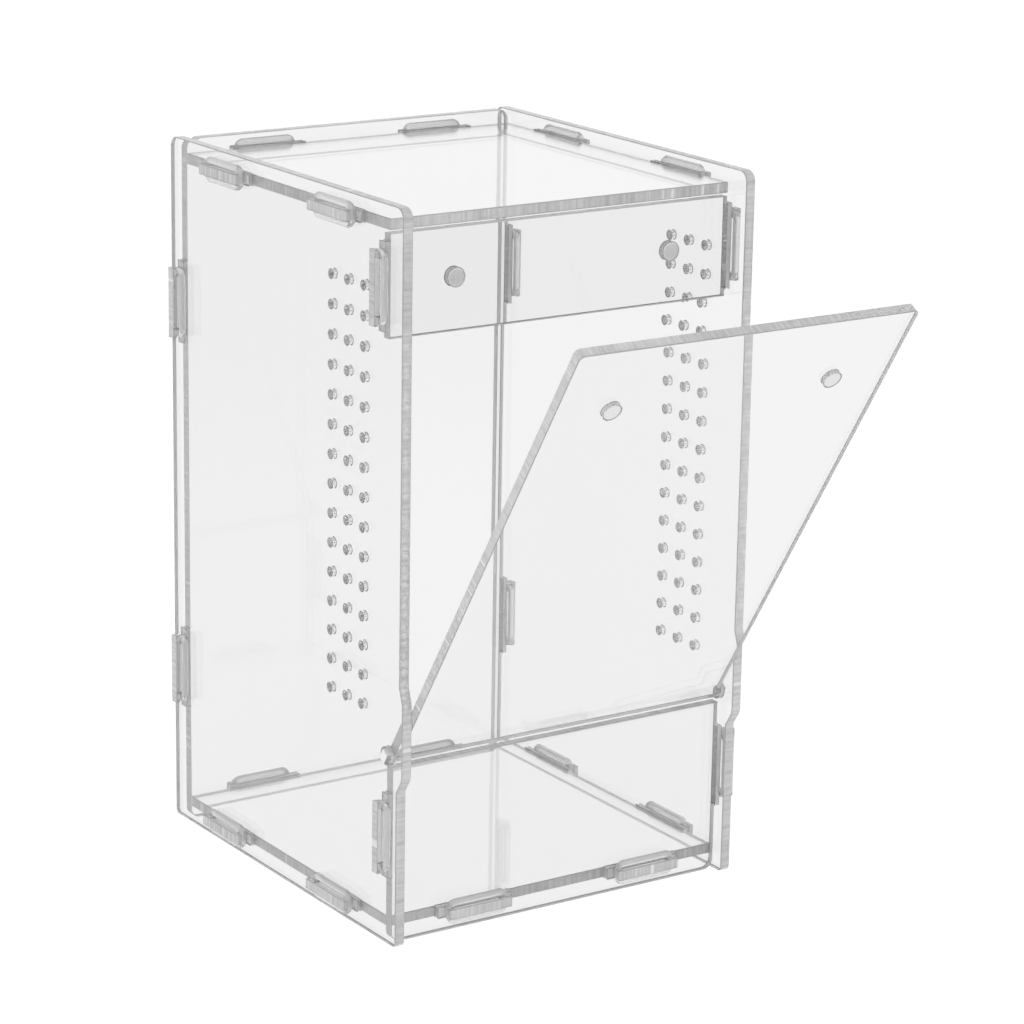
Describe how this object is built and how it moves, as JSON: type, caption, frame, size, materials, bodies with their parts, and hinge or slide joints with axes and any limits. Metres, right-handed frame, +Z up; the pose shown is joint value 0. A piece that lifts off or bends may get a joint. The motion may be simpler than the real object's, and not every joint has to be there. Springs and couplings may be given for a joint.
{
  "type": "jumping spider enclosure",
  "caption": "Tall clear box for a jumping spider: sheet panels joined by T tabs and elastic rings, vented sides, and a drop-down front door held by magnets.",
  "frame": {"origin": "middle of the back panel's foot, on the surface the box stands on", "axes": "+Z up, +X to the right seen from the front, -Y towards the door"},
  "size_m": [0.1176, 0.1967, 0.2],
  "materials": {
    "clear_sheet": "clear polished acrylic sheet",
    "clear_ring": "translucent silicone",
    "magnet": "nickel plated"
  },
  "bodies": {
    "enclosure": {"back": "clear_sheet", "fascia": "clear_sheet", "floor": "clear_sheet", "lower_front": "clear_sheet", "magnet_fascia_left": "magnet", "magnet_fascia_right": "magnet", "ring_back_left_lower": "clear_ring", "ring_back_left_upper": "clear_ring", "ring_back_right_lower": "clear_ring", "ring_back_right_upper": "clear_ring", "ring_fascia_left": "clear_ring", "ring_fascia_right": "clear_ring", "ring_floor_back_left": "clear_ring", "ring_floor_back_right": "clear_ring", "ring_floor_front_left": "clear_ring", "ring_floor_front_right": "clear_ring", "ring_floor_left_front": "clear_ring", "ring_floor_left_rear": "clear_ring", "ring_floor_right_front": "clear_ring", "ring_floor_right_rear": "clear_ring", "ring_lower_front_left": "clear_ring", "ring_lower_front_right": "clear_ring", "ring_roof_back_left": "clear_ring", "ring_roof_back_right": "clear_ring", "ring_roof_left_front": "clear_ring", "ring_roof_left_rear": "clear_ring", "ring_roof_right_front": "clear_ring", "ring_roof_right_rear": "clear_ring", "roof": "clear_sheet", "side_left": "clear_sheet", "side_right": "clear_sheet"},
    "door": {"door": "clear_sheet", "magnet_door_left": "magnet", "magnet_door_right": "magnet"}
  },
  "joints": [
    {"name": "door_hinge", "type": "hinge", "parent": "enclosure", "child": "door", "pos_m": [0, -0.1105, 0.0527], "axis": [1, 0, 0], "range_deg": [-32.5, 77]}
  ]
}
